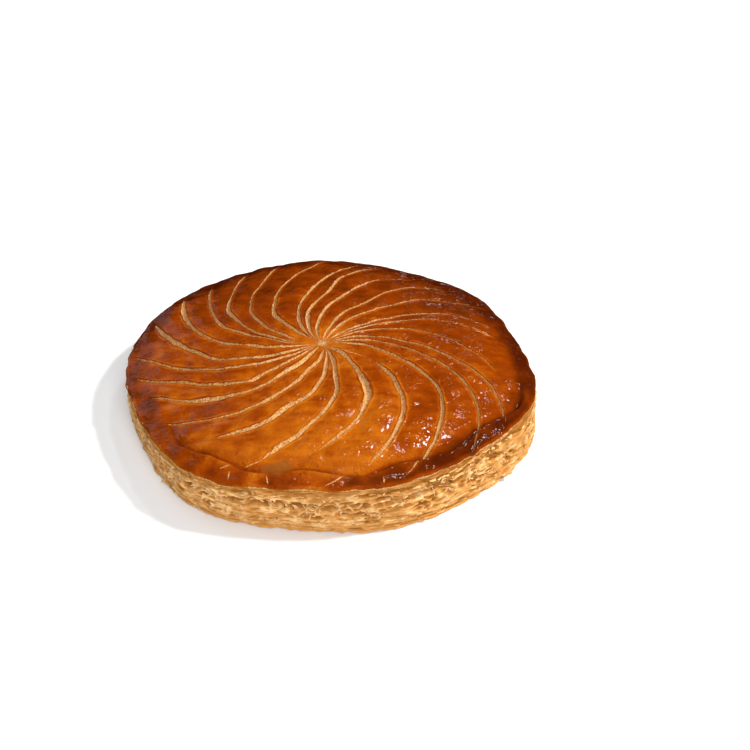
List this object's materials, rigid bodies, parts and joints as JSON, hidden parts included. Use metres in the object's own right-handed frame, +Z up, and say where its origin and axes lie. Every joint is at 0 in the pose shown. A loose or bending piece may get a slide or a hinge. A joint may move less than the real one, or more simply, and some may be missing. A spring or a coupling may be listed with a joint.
{
  "type": "galette des rois",
  "caption": "Round puff-pastry cake with a glazed, spiral-scored domed lid and a flaky layered wall, lying flat on its base.",
  "frame": {"origin": "centre of the cake's box, on the surface it rests on", "axes": "+Z up through the lid; -Y is the side that faces the camera in the picture"},
  "size_m": [0.263, 0.261, 0.0421],
  "materials": {
    "glazed_crust": "glossy, mottled egg-wash glaze, deep brown at the rim",
    "flaky_wall": "matte golden flakes",
    "baked_base": "matte baked dough"
  },
  "bodies": {
    "root": {"galette": "glazed_crust"}
  },
  "joints": []
}
